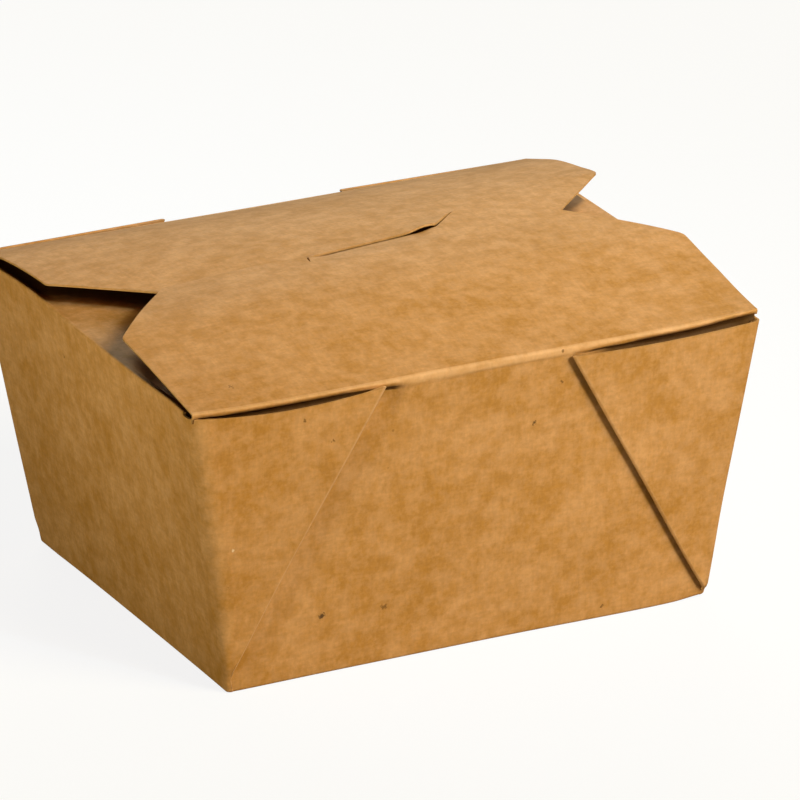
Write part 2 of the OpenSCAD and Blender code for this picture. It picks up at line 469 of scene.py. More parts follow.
# How far the rims of the side walls bow to the right, along y
LEFT_RIM = Spline(
    [-58, -55, -48, -38, -25, -10, 5, 16, 25, 35, 45, 55, 58],
    [0, 0, 0.35, 0.3, 0.15, 0.2, 0.35, 0.8, 1.1, 1.0, 0.4, 0, 0],
)
RIGHT_RIM = Spline(
    [-58, -55, -40, -20, 0, 20, 35, 48, 55, 58],
    [0, 0, 0.3, 0.6, 0.5, 0.4, 0.4, 0.2, 0, 0],
)
# How far the front wall's foot lies back, along x
FRONT_FOOT = Spline([-57, -52.7, -38, -16, 16, 44, 57], [-2.4, -2.3, -1.7, -1.0, -0.2, 0.1, 1.0])


def end_wall_give(x, z, belly):
    """How far the front and the rear wall wave outwards."""
    wave = 0.30 * np.sin(x / 17.0 + 0.6) * np.sin(z / 15.0 + 0.4) + 0.16 * np.sin(x / 7.7 - z / 9.0)
    return wave * (1 - np.clip(np.abs(x) / RIM_X, 0, 1) ** 4) * belly


def foot_give(x, y, up):
    """How far the front wall's foot and the rear wall's foot run aslant."""
    middle = 1 - np.clip(x / BASE_X, -1, 1) ** 2
    front = FRONT_FOOT(x) * (1 - up) * smooth((-y - 18) / 29)
    return front - 0.4 * middle * (1 - up) * smooth((y - 18) / 29)


def side_wall_give(x, y, z, up, belly):
    """How far the side walls sway outwards, and how far both bow to the right at the rim and the foot."""
    sway = 0.25 * np.sin(y / 15.0 + 0.8) * np.sin(z / 17.0) + 0.10 * np.sin(y / 6.9 + z / 8.0)
    sway = sway * (1 - np.clip(np.abs(y) / RIM_Y, 0, 1) ** 4) * belly * smooth((np.abs(x) - 40) / 10)
    rim_bow = np.where(x < 0, LEFT_RIM(y), RIGHT_RIM(y)) * up ** 1.3
    foot_bow = np.clip(1 - (np.abs(y + 8) / 46.0) ** 3, 0, 1) * (1 - up) ** 1.2
    return np.sign(x) * sway, (rim_bow + 0.35 * foot_bow) * smooth((np.abs(x) - 48) / 7)


def base_lift(x, y, z):
    """How far the base's middle and its front right corner stand clear of the floor."""
    middle = (1 - np.clip(y / BASE_Y, -1, 1) ** 2) * (1 - np.clip(x / BASE_X, -1, 1) ** 2)
    corner = smooth((np.abs(x) - 48) / 9) * smooth((-y - 38) / 11) * (x > 0)
    return (0.02 + 0.3 * middle + 0.5 * corner) * (1 - smooth(z / 14.0))


def sag(points):
    """The slight give of the walls and the base, added to points of the undented form."""
    p = np.array(points, float)
    x, y, z = p[..., 0], p[..., 1], p[..., 2]
    up = np.clip(z / RIM_Z, 0, 1)
    belly = np.sin(np.pi * up)
    on_end = smooth((np.abs(y) - 44) / 4) * (np.abs(x) < 66)
    sway, bow = side_wall_give(x, y, z, up, belly)
    q = p.copy()
    q[..., 0] += sway * (1 - on_end) + bow
    q[..., 1] += np.sign(y) * on_end * end_wall_give(x, z, belly) + foot_give(x, y, up)
    q[..., 2] += base_lift(x, y, z)
    return q


def heights_up():
    """Shares of a wall's height, closer together at its foot and its top."""
    foot, middle, top = np.linspace(0, 0.04, 4), np.linspace(0.04, 0.94, 30), np.linspace(0.94, 1, 5)
    return np.concatenate([foot[1:], middle[1:], top[1:]])


# The fold between the base and the walls: its angles, and how far in from it the base's own mesh begins
FOOT_ANGLES = np.radians([0, 14, 28, 42, 56, 69, 82.6])
BASE_INSET = 0.7


def ring_rows():
    """Rows of points round the box, from the base's edge up to the rim, and what each column is."""
    order = []
    for key, turn in ((FRONT_RIGHT, 1), ((1, 1), -1), ((-1, 1), 1), (FRONT_LEFT, -1)):
        g = GUSSETS[key]
        part = [(g, n, t) for n, t in columns_of(g)][::turn]
        order += part if not order else part[1:]
    order = order[:-1]
    fold_in = [BASE_RADIUS + BASE_INSET] + list(BASE_RADIUS - BASE_RADIUS * np.sin(FOOT_ANGLES))
    fold_z = [BOARD / 2] + list(BOARD / 2 + BASE_RADIUS - BASE_RADIUS * np.cos(FOOT_ANGLES))
    up = heights_up()
    inset = np.concatenate([fold_in, np.zeros(len(up))])
    columns = []
    for g, name, t in order:
        z = np.concatenate([fold_z, fold_z[-1] + up * (column_top(g, name, t) - fold_z[-1])])
        p, q = segment(g, name, t, np.maximum(z, BASE_Z))
        x = g.side * (wall_line(z, BASE_X, RIM_X) - inset - p)
        y = g.end * (wall_line(z, BASE_Y, RIM_Y) - inset + q)
        if g.end < 0 and name == "wall":
            y = y + front_gape(x) * smooth((z - GAPE_FROM) / (RIM_Z - GAPE_FROM))
        columns.append(np.stack([x, y, z], axis=1))
    return np.stack(columns, axis=1), order


# The mark of the darkest painted shade, in gaps and recesses
DARKEST_SHADE = -1.0


def ring_marks(rows, order):
    """Marks of the ring: pale along the gussets' folds, partly a painted highlight, and painted shade where
    the board lies in a narrow gap or recess.
    """
    marks = np.zeros(rows.shape[:2])
    for j, (g, name, t) in enumerate(order):
        x, z = rows[:, j, 0], rows[:, j, 2]
        key = (g.side, g.end)
        # The gussets' folded edges: pale fold wear, partly a painted highlight
        if name == "roll":
            marks[:, j] = 0.55 if key == FRONT_LEFT else 0.2
        # Painted shade in the gap under the right front gusset's folded edge
        if key == FRONT_RIGHT and (name == "under" and t > 0.7 or name == "roll" and t < 0.5):
            marks[:, j] = DARKEST_SHADE
        # Painted shade on the tops of the rear gussets
        if g.end > 0 and name not in ("wall", "side"):
            marks[:, j] = 0.45 * DARKEST_SHADE * smooth((z - 62.0) / 1.5)
        # Painted shade on the front wall's top where it recedes behind the gussets
        if g.end < 0 and name == "wall":
            behind = smooth((np.abs(x) - 22.0) / 3.0) * np.clip(front_gape(x) / 1.2, 0, 1)
            marks[:, j] = DARKEST_SHADE * smooth((z - 59.0) / 2.0) * behind
    return marks


def add_base(sheet, rows, order):
    keep = [j for j, (g, n, t) in enumerate(order) if n in ("wall", "corner", "side")]
    flat, triangles = plan_mesh([tuple(p[:2]) for p in rows[0][keep]], [], BASE_STEP)
    points = np.array([(x, y, BOARD / 2) for x, y in flat])
    sheet.add(sag(points), [tuple(reversed(f)) for f in triangles])


def wall_tops(rows, order, end):
    """The top points of the front or the rear wall, from left to right."""
    found = {}
    for p, (g, name, t) in zip(rows[-1], order):
        if name == "wall" and g.end == end:
            found[round(float(p[0]), 6)] = p
    return [found[x] for x in sorted(found)]


# The lid

# Heights of the front and the rear flap over the plan
FRONT = Relief(
    [-65, -57, -48, -36, -25, -14, 0, 25, 47, 65],
    [FRONT_FOLD, -48, -39, -30, -22, -12, 0, 12],
    [
        [65.25, 66.4, 67.8, 69.1, 70.1, 71.0, 71.0, 71.0],
        [64.95, 66.6, 68.2, 69.6, 70.8, 71.5, 71.2, 71.0],
        [64.80, 66.6, 68.5, 70.2, 71.4, 71.9, 71.3, 71.0],
        [64.80, 66.7, 68.8, 70.6, 72.0, 72.6, 72.2, 71.9],
        [64.90, 66.8, 69.1, 71.0, 72.4, 73.1, 73.0, 72.6],
        [65.10, 66.9, 69.2, 71.2, 72.5, 73.3, 73.3, 73.0],
        [65.20, 67.0, 69.3, 71.3, 72.7, 73.5, 73.6, 73.4],
        [65.30, 67.0, 69.2, 71.2, 72.6, 73.5, 73.8, 73.9],
        [65.40, 67.0, 69.0, 70.9, 72.4, 73.3, 73.7, 73.8],
        [66.15, 67.2, 68.9, 70.5, 72.0, 72.9, 73.3, 73.4],
    ],
)
REAR = Relief(
    [-65, -48, -25, 0, 25, 47, 65],
    [-10, 0, 10, 20, 30, 40, 48, REAR_FOLD],
    [
        [68.8, 69.1, 69.3, 69.4, 69.0, 68.1, 66.8, 64.7],
        [70.0, 70.3, 70.6, 70.6, 70.1, 69.1, 67.2, 64.6],
        [71.6, 72.2, 72.4, 72.0, 71.0, 69.3, 67.1, 64.5],
        [72.1, 72.8, 73.0, 72.5, 71.2, 69.2, 66.9, 64.4],
        [72.2, 73.0, 73.3, 72.8, 71.4, 69.4, 67.1, 64.6],
        [72.2, 72.9, 73.2, 72.8, 71.5, 69.5, 67.2, 64.8],
        [72.3, 72.7, 72.9, 72.7, 71.4, 69.5, 67.2, 65.0],
    ],
)
# The front fold's outermost line, and how pale the fold is along it: fold wear, partly a painted highlight
FOLD_LINE = Spline(
    [-65, -57, -48, -36, -26, -17, 0, 20, 30, 38, 51, 60, 65],
    [65.0, 64.5, 64.35, 64.4, 64.5, 64.15, 64.1, 64.2, 64.45, 64.7, 65.0, 65.7, 65.95],
)
FOLD_WEAR_AND_HIGHLIGHT = Spline([-65, -40, -25, 20, 40, 65], [0.45, 0.4, 0.5, 0.5, 0.45, 0.15])
# Marks across a rim fold from the wall to the flap, where it is shut and where it gapes: pale fold wear,
# partly a painted highlight, and painted shade at the wall end where the fold gapes
FOLD_MARKS = np.array([0, 0.15, 0.4, 0.7, 0.9] + [1.0] * 10 + [0])[:, None]
UNDER_MARKS = np.array([2 * DARKEST_SHADE] * 3 + [0.8 * DARKEST_SHADE, 0, 0.7] + [1.0] * 9 + [0])[:, None]

# The slit's rear edge runs from its left end to its turn and on to its far end; SLIT_OPEN is its width
SLIT_LEFT, SLIT_TURN = -14.1, 18.3
SLIT_FROM, SLIT_TO = -1.0, 3.0
SLIT_END = (26.2, 10.5)
SLIT_OPEN = 1.5
# The tab that hangs through it: its two sides, the size of its bend and the angle that it spans
TAB_LEFT, TAB_RIGHT = -13.6, 17.9
TAB_BEND = 0.45
TAB_TURN = math.radians(6.0)
# The rear flap's shoulders, its tip and the length of its slanted edges
REAR_SHOULDER, REAR_SHOULDER_X = 19.0, 64.4
REAR_TIP_LEFT, REAR_TIP_RIGHT, REAR_TIP_Y = -37.4, 37.1, -9.0
REAR_SLANT = 39.3
FRONT_END = LID_HALF - 0.2
HOOK_FROM = 0.3


def slit_y(x):
    return SLIT_FROM + (SLIT_TO - SLIT_FROM) * (x - SLIT_LEFT) / (SLIT_TURN - SLIT_LEFT)


def slit_dip(x, y):
    """How far the lid gives way in front of the slit."""
    near = smooth(1 - np.abs(y - slit_y(x)) / 8.0)
    return 0.6 * near * smooth((x - SLIT_LEFT) / 5) * smooth((SLIT_TURN - x) / 5)


def slit_lip(x, behind):
    """How far the rear flap stands up behind the slit, highest near the slit's turn."""
    along = 0.5 * smooth((x - SLIT_LEFT + 1.0) / 4.0) + 0.25 * smooth((x - 15.0) / 3.0)
    along = along * smooth((27.0 - x) / 5.0)
    lip = (along + 0.75 * np.exp(-((x - 15.4) / 2.9) ** 2)) * smooth((behind + 0.5) / 0.5)
    return lip * np.exp(-np.clip(behind, 0, None) / 5.0)


def rear_height(x, y):
    x, y = np.asarray(x, float), np.asarray(y, float)
    slant = (SLIT_END[1] - SLIT_TO) / (SLIT_END[0] - SLIT_TURN)
    behind = y - np.where(x > SLIT_TURN, SLIT_TO + slant * (x - SLIT_TURN), slit_y(x))
    curl = 0.35 * smooth((x - 52) / 12) * smooth(1 - np.abs(y - REAR_SHOULDER) / 9)
    dip = slit_dip(x, y) * smooth(0.2 - behind)
    return REAR(x, y) + slit_lip(x, behind) + curl - dip


def front_height(x, y):
    x, y = np.asarray(x, float), np.asarray(y, float)
    return FRONT(x, y) - slit_dip(x, y)


def flap_starts(wall, fold_y, inwards, height):
    """Where each column of a rim fold meets its flap, as (y, z, slope)."""
    step = 0.3
    out = []
    for p in wall:
        z = float(height(p[0], fold_y))
        out.append((fold_y, z, (float(height(p[0], fold_y + inwards * step)) - z) / step))
    return out


def lid_fold(wall, end, flap, lower, reach=0.39):
    """Rows of a rim fold, from the wall's top points round its outermost line to where the flap starts.

    end is 1 at the rear and -1 at the front, and lower gives the outermost line's (y, z) at an x. Where the
    wall's top lies well inside that line, the board hooks outwards to it.
    """
    out = []
    for p, (flap_y, flap_z, slope) in zip(wall, flap):
        y, z = lower(p[0])
        first = fold_curve((p[1], p[2]), (0.1 * end, 1), (y, z), (0, 1), 5, 0.45)
        deep = abs(p[1] - y)
        if deep > HOOK_FROM:
            hooked = [
                (p[1], p[2]), (p[1], z - 0.9), (y + 0.55 * deep, z - 0.72),
                (y + 0.12 * deep, z - 0.55), (y, z),
            ]
            first += (hooked - first) * smooth((deep - HOOK_FROM) / 1.5)
        second = fold_curve((y, z), (0, 1), (flap_y, flap_z), (-end, slope), 12, reach)
        line = np.concatenate([first, second[1:]])
        out.append(np.column_stack([np.full(len(line), p[0]), line]))
    return np.stack(out, axis=1)


def add_rear_flap(sheet, rows, order):
    """The rear flap with its fold and its slit."""
    ends = [np.array([x, RIM_Y, RIM_Z]) for x in (LID_HALF, LID_HALF - 0.5)]
    far_ends = [p * (-1, 1, 1) for p in reversed(ends)]
    wall = ends + wall_tops(rows, order, 1)[::-1] + far_ends
    flap = flap_starts(wall, REAR_FOLD, -1, rear_height)
    fold = lid_fold(wall, 1, flap, lambda x: (RIM_Y + 0.08, RIM_Z + 0.12))
    # Pale fold wear, partly a painted highlight
    sheet.grid(sag(fold), marks=0.5 * FOLD_MARKS)

    outline = path([
        (-LID_HALF, REAR_FOLD, 0), (-LID_HALF, REAR_SHOULDER, 2.0), (REAR_TIP_LEFT, REAR_TIP_Y, 0),
        (REAR_TIP_RIGHT, REAR_TIP_Y, 0), (REAR_SHOULDER_X, REAR_SHOULDER, 2.0), (LID_HALF, REAR_FOLD, 0),
    ], OUTLINE_STEP)
    outline += [(float(p[0]), REAR_FOLD) for p in wall][1:-1]
    slit = divided([
        (SLIT_LEFT, SLIT_FROM), (SLIT_LEFT + 0.15, SLIT_FROM - SLIT_OPEN),
        (SLIT_TURN + 0.35, SLIT_TO - SLIT_OPEN - 0.1), SLIT_END, (SLIT_TURN, SLIT_TO),
    ], SLIT_STEP)
    flat, triangles = plan_mesh(outline, [slit], LID_STEP)
    xy = np.array(flat)
    sheet.add(np.column_stack([xy, rear_height(xy[:, 0], xy[:, 1])]), triangles)


# How far the side flaps rise along their folds, and their slope, depth and taper
SIDE_LIFT = {
    -1: Spline([-53, -40, -20, 0, 20, 40, 53], [0.1, 0.2, 0.35, 0.4, 0.3, 0.2, 0.1]),
    1: Spline([-53, -30, -10, 8, 27, 40, 53], [0.1, 0.3, 0.4, 0.4, 0.4, 0.3, 0.1]),
}
SIDE_SLOPE = {-1: -0.005, 1: -0.12}
SIDE_RISE = 0.15
SIDE_DEPTH, SIDE_EDGE = 38.0, 0.7
SIDE_TAPER = math.tan(math.radians(42))
SPRING, SPRING_REACH = 0.25, 6.0


def side_height(side, y, inward):
    """Height of a side flap, which springs up along its fold and sinks under the front flap."""
    lift = float(SIDE_LIFT[side](y))
    spring = SPRING * lift * SPRING_REACH * (1 - math.exp(-inward / SPRING_REACH))
    sink = 3.6 * smooth((-y - 16) / 12) * smooth(inward / 3.5)
    return RIM_Z + SIDE_RISE + lift + SIDE_SLOPE[side] * inward + spring - sink


def side_fold(wall, side):
    """Rows of a side flap's fold."""
    line = []
    for p in wall:
        lift = float(SIDE_LIFT[side](p[1]))
        outer = (p[0] * side + 0.05, RIM_Z + 0.25 + 0.7 * lift)
        inner = (RIM_X - SIDE_EDGE, RIM_Z + SIDE_RISE + lift)
        first = fold_curve((p[0] * side, p[2]), (0.14, 1), outer, (0, 1), 4, 0.45)
        second = fold_curve(outer, (0, 1), inner, (-1, SIDE_SLOPE[side] + SPRING * lift), 8)
        c = np.concatenate([first, second[1:]])
        line.append(np.column_stack([c[:, 0] * side, np.full(len(c), p[1]), c[:, 1]]))
    return np.stack(line, axis=1)


def side_outline(ys):
    """Plan of a side flap on the right, from its fold in to its tapered end."""
    start, inner, run = RIM_X - SIDE_EDGE, RIM_X - SIDE_DEPTH, SIDE_DEPTH - SIDE_EDGE
    low, high, cut = ys[0], ys[-1], run * SIDE_TAPER
    # How many stretches each slanted side and the end are divided into
    slant, end = 16, 12
    out = [(start, y) for y in ys]
    out += [(start - run * k / slant, high - cut * k / slant) for k in range(1, slant + 1)]
    out += [(inner, high - cut - (high - low - 2 * cut) * k / end) for k in range(1, end)]
    return out + [(start - run * k / slant, low + cut * k / slant) for k in range(slant, 0, -1)]


def covered_by_rear(x, y):
    """How far a point of a side flap lies behind the rear flap's slanted edge."""
    along_x, along_y = LID_HALF + REAR_TIP_LEFT, REAR_SHOULDER - REAR_TIP_Y
    across = (LID_HALF - x) * along_y + (y - REAR_SHOULDER) * along_x
    return across / REAR_SLANT


def add_side_flap(sheet, rows, order, side):
    found = {
        round(float(p[1]), 6): p
        for p, (g, name, t) in zip(rows[-1], order)
        if name == "side" and g.side == side and abs(p[2] - RIM_Z) < 1e-6
    }
    wall = [found[y] for y in sorted(found)]
    fold = side_fold(wall, side)
    sheet.grid(sag(fold if side > 0 else fold[:, ::-1]))

    flat, triangles = plan_mesh(side_outline([float(p[1]) for p in wall]), [], SIDE_STEP)
    start = RIM_X - SIDE_EDGE
    points = [(x * side, y, side_height(side, y, start - x)) for x, y in flat]
    faces = triangles if side > 0 else [tuple(reversed(f)) for f in triangles]
    xy = np.array(flat)
    # Painted shadow of the rear flap on the side flap beneath its slanted edge
    sheet.add(sag(points), faces, DARKEST_SHADE * smooth((covered_by_rear(xy[:, 0], xy[:, 1]) - 4.0) / 3.0))


def make_carton(materials):
    """The whole sheet but for the front flap."""
    rows, order = ring_rows()
    sheet = Sheet()
    sheet.grid(sag(rows), closed=True, marks=ring_marks(rows, order))
    add_base(sheet, rows, order)
    add_rear_flap(sheet, rows, order)
    for side in (-1, 1):
        add_side_flap(sheet, rows, order, side)
    obj = make_board("carton_sheet", sheet, materials)
    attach(obj, "carton")
    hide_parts("carton")


def front_wall_end(x):
    return np.array([x, -RIM_Y + float(front_gape(x)), FRONT_Z + float(FOLD_SAG(x))])


def add_front_fold(sheet, wall):
    flap = flap_starts(wall, FRONT_FOLD, 1, front_height)
    fold = lid_fold(wall, -1, flap, lambda x: (-RIM_Y - 0.12, float(FOLD_LINE(x))), 0.5)
    # Painted shade where the fold gapes behind the gussets, and pale fold wear, partly a painted highlight,
    # elsewhere
    tone = np.array([float(FOLD_WEAR_AND_HIGHLIGHT(p[0])) for p in wall])[None, :]
    under = np.array([min(1.0, 2 * float(front_gape(p[0]))) for p in wall])[None, :]
    marks = FOLD_MARKS * (1 - under) + UNDER_MARKS * under
    sheet.grid(sag(fold), marks=np.where(marks < 0, 0.5 * marks, tone * marks))


def tab_radius(x):
    """Distance of the hanging tab's middle surface from the front fold."""
    y = slit_y(x)
    return math.hypot(y + RIM_Y, float(REAR(x, y)) - BOARD / 2 - HINGE_Z) - 0.3 - BOARD / 2


def tab_start(x):
    """Where the lid begins to bend down into the tab."""
    z = float(front_height(x, slit_y(x)))
    return math.sqrt(tab_radius(x) ** 2 - (z - HINGE_Z) ** 2) - RIM_Y - TAB_BEND


def on_arc(radius, angle):
    """The place (y, z) at an angle on an arc about the front fold."""
    return (radius * math.cos(angle) - RIM_Y, HINGE_Z + radius * math.sin(angle))


def tab_rows(tab_line):
    """Rows of the tab, bent down and hanging along an arc about the front fold."""
    columns = []
    middle = (TAB_LEFT + TAB_RIGHT) / 2
    for x, y in tab_line:
        z = float(front_height(x, y))
        radius = tab_radius(x)
        drop = z - TAB_BEND - HINGE_Z
        turn = math.atan2(drop, math.sqrt(max(radius ** 2 - drop ** 2, 0)))
        down = (math.sin(turn), -math.cos(turn))
        bent = fold_curve((y, z), (1, 0), on_arc(radius, turn), down, 7, 0.42)
        arc = [on_arc(radius, turn - TAB_TURN * k / 9) for k in range(1, 10)]
        line = np.concatenate([bent, arc])
        narrow = 1 - 0.10 * np.clip((np.arange(len(line)) - 7) / 8, 0, 1) ** 2
        columns.append(np.column_stack([middle + (x - middle) * narrow, line]))
    return np.stack(columns, axis=1)


def front_outline(wall, tab_line):
    """Plan of the front flap up to where its tab bends down."""
    right_side = path([
        (FRONT_END, FRONT_FOLD, 0), (FRONT_END, -21.9, 3.4), (45.9, 0.0, 1.0), (26.5, 10.2, 0.6),
        (18.75, SLIT_TO - 0.35, 0), tab_line[-1] + (0,),
    ], OUTLINE_STEP)
    left_side = path([
        tab_line[0] + (0,), (-14.2, -4.3, 0), (-14.4, -4.25, 0), (-13.95, SLIT_FROM - 0.2, 0),
        (-46.3, 0.2, 1.0), (-FRONT_END, -20.9, 2.0), (-FRONT_END, FRONT_FOLD, 0),
    ], OUTLINE_STEP)
    hinge = [(float(p[0]), FRONT_FOLD) for p in wall]
    return hinge[:-1] + right_side + tab_line[::-1][1:-1] + left_side[:-1]


def make_front_flap(materials):
    """The front flap with its fold and its tab."""
    rows, order = ring_rows()
    reach = [FRONT_END, FRONT_END - 0.5]
    wall = [front_wall_end(-x) for x in reach] + wall_tops(rows, order, -1)
    wall += [front_wall_end(x) for x in reversed(reach)]
    sheet = Sheet()
    add_front_fold(sheet, wall)
    tab_line = [(x, tab_start(x)) for x in np.linspace(TAB_LEFT, TAB_RIGHT, 30)]
    flat, triangles = plan_mesh(front_outline(wall, tab_line), [], LID_STEP)
    xy = np.array(flat)
    sheet.add(np.column_stack([xy, front_height(xy[:, 0], xy[:, 1])]), triangles)
    sheet.grid(tab_rows(tab_line))
    obj = make_board("front_flap_sheet", sheet, materials)
    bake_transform(obj)
    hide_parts("front_flap")


# Materials

DARK, BROWN, PALE = (0.05, 0.022, 0.01), (0.20, 0.085, 0.02), (0.80, 0.58, 0.36)
X, Y, Z = 0, 1, 2
# Flecks of the board: place in millimetres, the axis that each is seen along, radius and colour
SPECKS = [
    ((-55.8, -52.2, 33.1), Y, 1.1, PALE),
    ((-34.3, -50.9, 13.6), Y, 1.7, DARK),
    ((-20.0, -50.6, 12.8), Y, 1.4, BROWN),
    ((-56.6, -51.2, 24.9), Y, 0.8, BROWN),
    ((-33.4, -55.0, 54.2), Y, 0.7, BROWN),
    ((-52.6, -48.6, 66.9), Z, 0.9, BROWN),
    ((-40.0, -55.7, 60.0), Y, 0.7, BROWN),
    ((13.5, -54.3, 49.1), Y, 1.1, DARK),
    ((19.6, -55.4, 57.5), Y, 0.6, BROWN),
    ((19.5, -56.3, 64.7), Y, 0.6, BROWN),
    ((31.4, -48.5, 2.7), Y, 0.7, BROWN),
    ((-63.9, 13.9, 54.7), X, 0.8, BROWN),
]
# Colours of the pale fold wear, partly a painted highlight, of the painted shade in gaps and recesses, and of
# the flecks
PALE_FOLD_AND_HIGHLIGHT_COLOUR, PAINTED_SHADE_COLOUR, FLECK_COLOUR = (0.80, 0.47, 0.235), (0.045, 0.014, 0.001), (0.16, 0.07, 0.018)


class Shading:
    """A new material, with short ways to add nodes to it; each way returns the new node's output."""

    def __init__(self, name):
        self.material = bpy.data.materials.new(name)
        self.material.use_nodes = True
        self.nodes, self.links = self.material.node_tree.nodes, self.material.node_tree.links
        self.shader = self.nodes["Principled BSDF"]

    def put(self, socket, value):
        """Link the socket to another, or set it to a number, a vector or a colour."""
        if isinstance(value, bpy.types.NodeSocket):
            self.links.new(value, socket)
        elif socket.type == "RGBA":
            socket.default_value = tuple(value) + (1,)
        else:
            socket.default_value = value

    def attribute(self, name, output):
        node = self.nodes.new("ShaderNodeAttribute")
        node.attribute_name = name
        return node.outputs[output]

    def noise(self, place, scale, detail, stretch=(1, 1, 1), turn=(0, 0, 0), rough=0.55):
        mapping = self.nodes.new("ShaderNodeMapping")
        node = self.nodes.new("ShaderNodeTexNoise")
        self.put(mapping.inputs["Vector"], place)
        self.put(mapping.inputs["Scale"], stretch)
        self.put(mapping.inputs["Rotation"], turn)
        self.put(node.inputs["Vector"], mapping.outputs["Vector"])
        self.put(node.inputs["Scale"], scale)
        self.put(node.inputs["Detail"], detail)
        self.put(node.inputs["Roughness"], rough)
        return node.outputs["Fac"]

    def ranged(self, value, low, high, to_low, to_high):
        node = self.nodes.new("ShaderNodeMapRange")
        node.interpolation_type = "SMOOTHSTEP"
        self.put(node.inputs["Value"], value)
        for key, v in (("From Min", low), ("From Max", high), ("To Min", to_low), ("To Max", to_high)):
            self.put(node.inputs[key], v)
        return node.outputs["Result"]

    def math(self, kind, a, b):
        node = self.nodes.new("ShaderNodeMath")
        node.operation = kind
        self.put(node.inputs[0], a)
        self.put(node.inputs[1], b)
        return node.outputs[0]

    def vector_math(self, kind, a, b, output, socket=1):
        node = self.nodes.new("ShaderNodeVectorMath")
        node.operation = kind
        self.put(node.inputs[0], a)
        self.put(node.inputs[socket], b)
        return node.outputs[output]

    def mix(self, factor, a, b):
        node = self.nodes.new("ShaderNodeMix")
        node.data_type = "RGBA"
        self.put(node.inputs["Factor"], factor)
        self.put(node.inputs["A"], a)
        self.put(node.inputs["B"], b)
        return node.outputs["Result"]

    def darker(self, colour, factor):
        return self.vector_math("SCALE", colour, factor, 0, "Scale")


def mottled(m, place, dark, light, contrast):
    """Fine mottling with broader patches."""
    mottle = m.ranged(m.noise(place, 260, 5.0, rough=0.68), 0.33, 0.67, 0.5 - contrast, 0.5 + contrast)
    patch = m.ranged(m.noise(place, 70, 3.0), 0.35, 0.65, -0.15, 0.15)
    return m.mix(m.math("ADD", mottle, patch), dark, light)


def fibre(m, place, scale, stretch, turn):
    """Short fibres along the axis that the stretch shortens."""
    return m.ranged(m.noise(place, scale, 2.0, stretch, turn), 0.34, 0.66, 0.965, 1.035)


def flecked(m, place, base):
    """Sparse small dots."""
    flecks = m.nodes.new("ShaderNodeTexVoronoi")
    m.put(flecks.inputs["Scale"], 105)
    m.put(flecks.inputs["Vector"], place)
    few = m.nodes.new("ShaderNodeSeparateColor")
    m.put(few.inputs[0], flecks.outputs["Color"])
    size = m.ranged(few.outputs[0], 0.80, 1.0, 0.0, 0.04)
    dot = m.math("LESS_THAN", flecks.outputs["Distance"], size)
    return m.mix(m.math("MULTIPLY", dot, 0.45), base, FLECK_COLOUR)


def apply_wear_highlight_and_shade(m, place, base):
    """Painted shade where the mark is below 0, and ragged pale fold wear, partly a painted highlight, where
    it is above.
    """
    wear_and_painted_light = m.attribute("wear_and_painted_light", "Fac")
    base = m.mix(m.ranged(wear_and_painted_light, DARKEST_SHADE, 0.0, 0.8, 0.0), base, PAINTED_SHADE_COLOUR)
    ragged = m.ranged(m.noise(place, 500, 3.0), 0.25, 0.6, 0.45, 0.8)
    return m.mix(m.math("MULTIPLY", m.math("MAXIMUM", wear_and_painted_light, 0.0), ragged), base, PALE_FOLD_AND_HIGHLIGHT_COLOUR)


def speckled(m, place, base, specks):
    """The board's own specks, at listed places."""
    ragged = m.ranged(m.noise(place, 1600, 2.0), 0.25, 0.75, -0.0004, 0.0004)
    for at, through, radius, colour in specks:
        across = [0.15 if k == through else 1.0 for k in range(3)]
        flat = m.vector_math("MULTIPLY", place, across, "Vector")
        gap = m.vector_math("DISTANCE", flat, [v * w * 0.001 for v, w in zip(at, across)], "Value")
        distance = m.math("ADD", gap, ragged)
        base = m.mix(m.ranged(distance, 0.0002 * radius, 0.0006 * radius, 0.85, 0.0), base, colour)
    return base


def kraft(name, dark, light, contrast, specks=()):
    """Unbleached board: pale and golden mottling, short fibres, pale fold wear partly painted as highlight,
    painted shade in gaps, and a few flecks.
    """
    m = Shading(name)
    place = m.attribute("board_place", "Vector")
    fibre_a = fibre(m, place, 1400, (1, 0.22, 1), (0.3, 0.2, 0.5))
    fibre_b = fibre(m, place, 1400, (0.22, 1, 1), (0.1, 0.5, 0.2))
    fibre_c = fibre(m, place, 1300, (1, 1, 0.22), (0.4, 0.1, 0.9))
    fibres = m.math("MULTIPLY", m.math("MULTIPLY", fibre_a, fibre_b), fibre_c)
    base = m.darker(mottled(m, place, dark, light, contrast), fibres)
    # Pale fold wear with a painted highlight, and painted shade in gaps
    base = apply_wear_highlight_and_shade(m, place, flecked(m, place, base))
    m.put(m.shader.inputs["Base Color"], speckled(m, place, base, specks))
    m.put(m.shader.inputs["Roughness"], 0.62)
    m.put(m.shader.inputs["Specular IOR Level"], 0.2)

    relief = m.nodes.new("ShaderNodeBump")
    grain = m.math("MULTIPLY", m.noise(place, 420, 3.0), 0.25)
    m.put(relief.inputs["Strength"], 0.2)
    m.put(relief.inputs["Distance"], 0.00004)
    m.put(relief.inputs["Height"], m.math("ADD", m.math("ADD", fibre_a, fibre_b), grain))
    m.put(m.shader.inputs["Normal"], relief.outputs[0])
    return m.material


